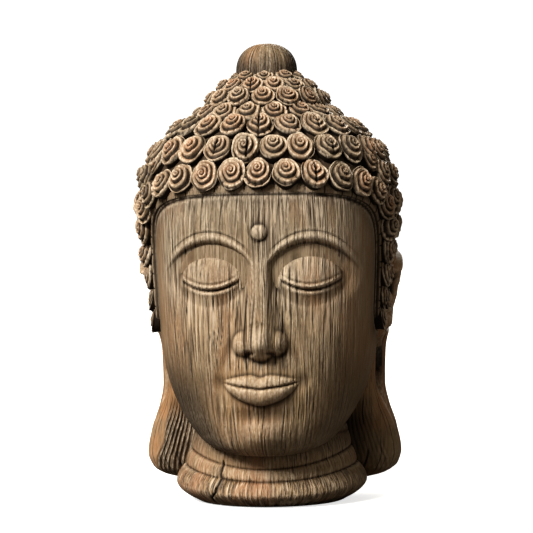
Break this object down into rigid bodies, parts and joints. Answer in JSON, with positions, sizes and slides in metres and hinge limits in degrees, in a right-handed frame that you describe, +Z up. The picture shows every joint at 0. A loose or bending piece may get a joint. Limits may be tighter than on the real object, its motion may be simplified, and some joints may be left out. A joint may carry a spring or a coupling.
{
  "type": "resin buddha head ornament",
  "caption": "Cast resin Buddha head with snail-shell curls, smooth topknot, long ear lobes and a ringed neck that rests on its own rolled foot; carved-wood look.",
  "frame": {"origin": "middle of the flat underside that the head stands on", "axes": "+Z up towards the topknot; the face looks along -Y; +X to the figure's left"},
  "size_m": [0.1768, 0.2067, 0.3],
  "materials": {
    "wood_look_resin": "cast resin painted as weathered brown wood, dark in the hollows and dry-brushed tan on the high places"
  },
  "bodies": {
    "root": {"buddha_head": "wood_look_resin"}
  },
  "joints": []
}
